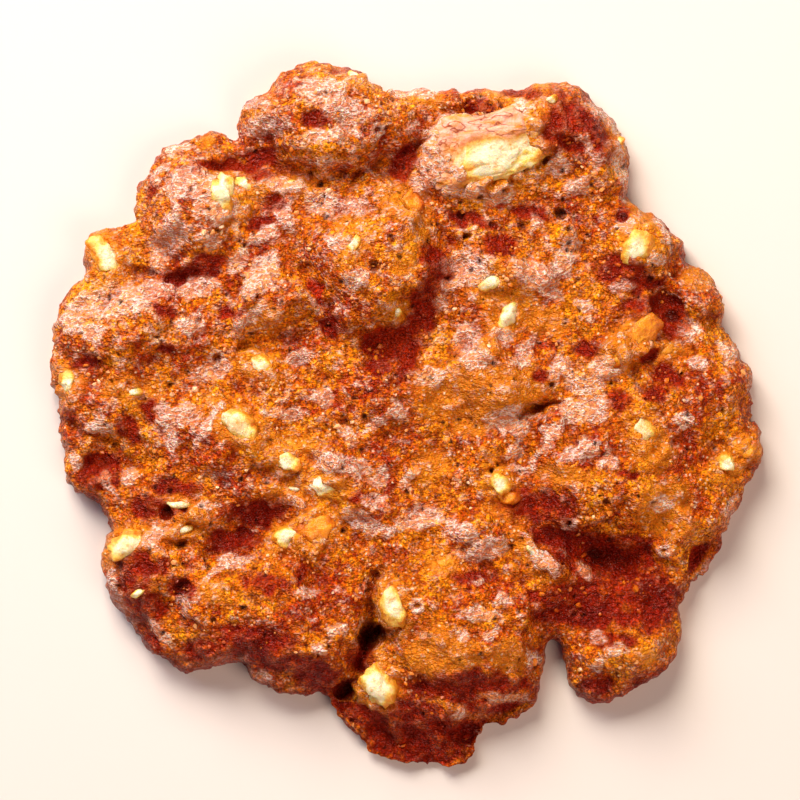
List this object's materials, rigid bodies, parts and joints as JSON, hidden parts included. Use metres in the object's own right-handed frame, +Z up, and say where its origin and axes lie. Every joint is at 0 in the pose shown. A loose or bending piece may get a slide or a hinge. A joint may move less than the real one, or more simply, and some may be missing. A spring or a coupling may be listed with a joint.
{
  "type": "chicken biscuit",
  "caption": "Thin round baked biscuit with a lumpy, crumbly top, a ragged lobed edge, a split in one side and chopped pale nut and candied melon bits set in the dough.",
  "frame": {"origin": "middle of the flat underside, at the centre of the outline's bounding box", "axes": "+Z up through the baked top, +Y towards the tall knob at the picture's top, +X towards the picture's right"},
  "size_m": [0.0639, 0.0635, 0.0079],
  "materials": {
    "baked_crust": "baked crumbly dough, amber to dark red brown, faintly glazed with fat and syrup",
    "candied_melon": "pale cream to amber candied melon or nut, slightly translucent"
  },
  "bodies": {
    "root": {"biscuit": "baked_crust", "melon_chunk": "candied_melon"}
  },
  "joints": []
}
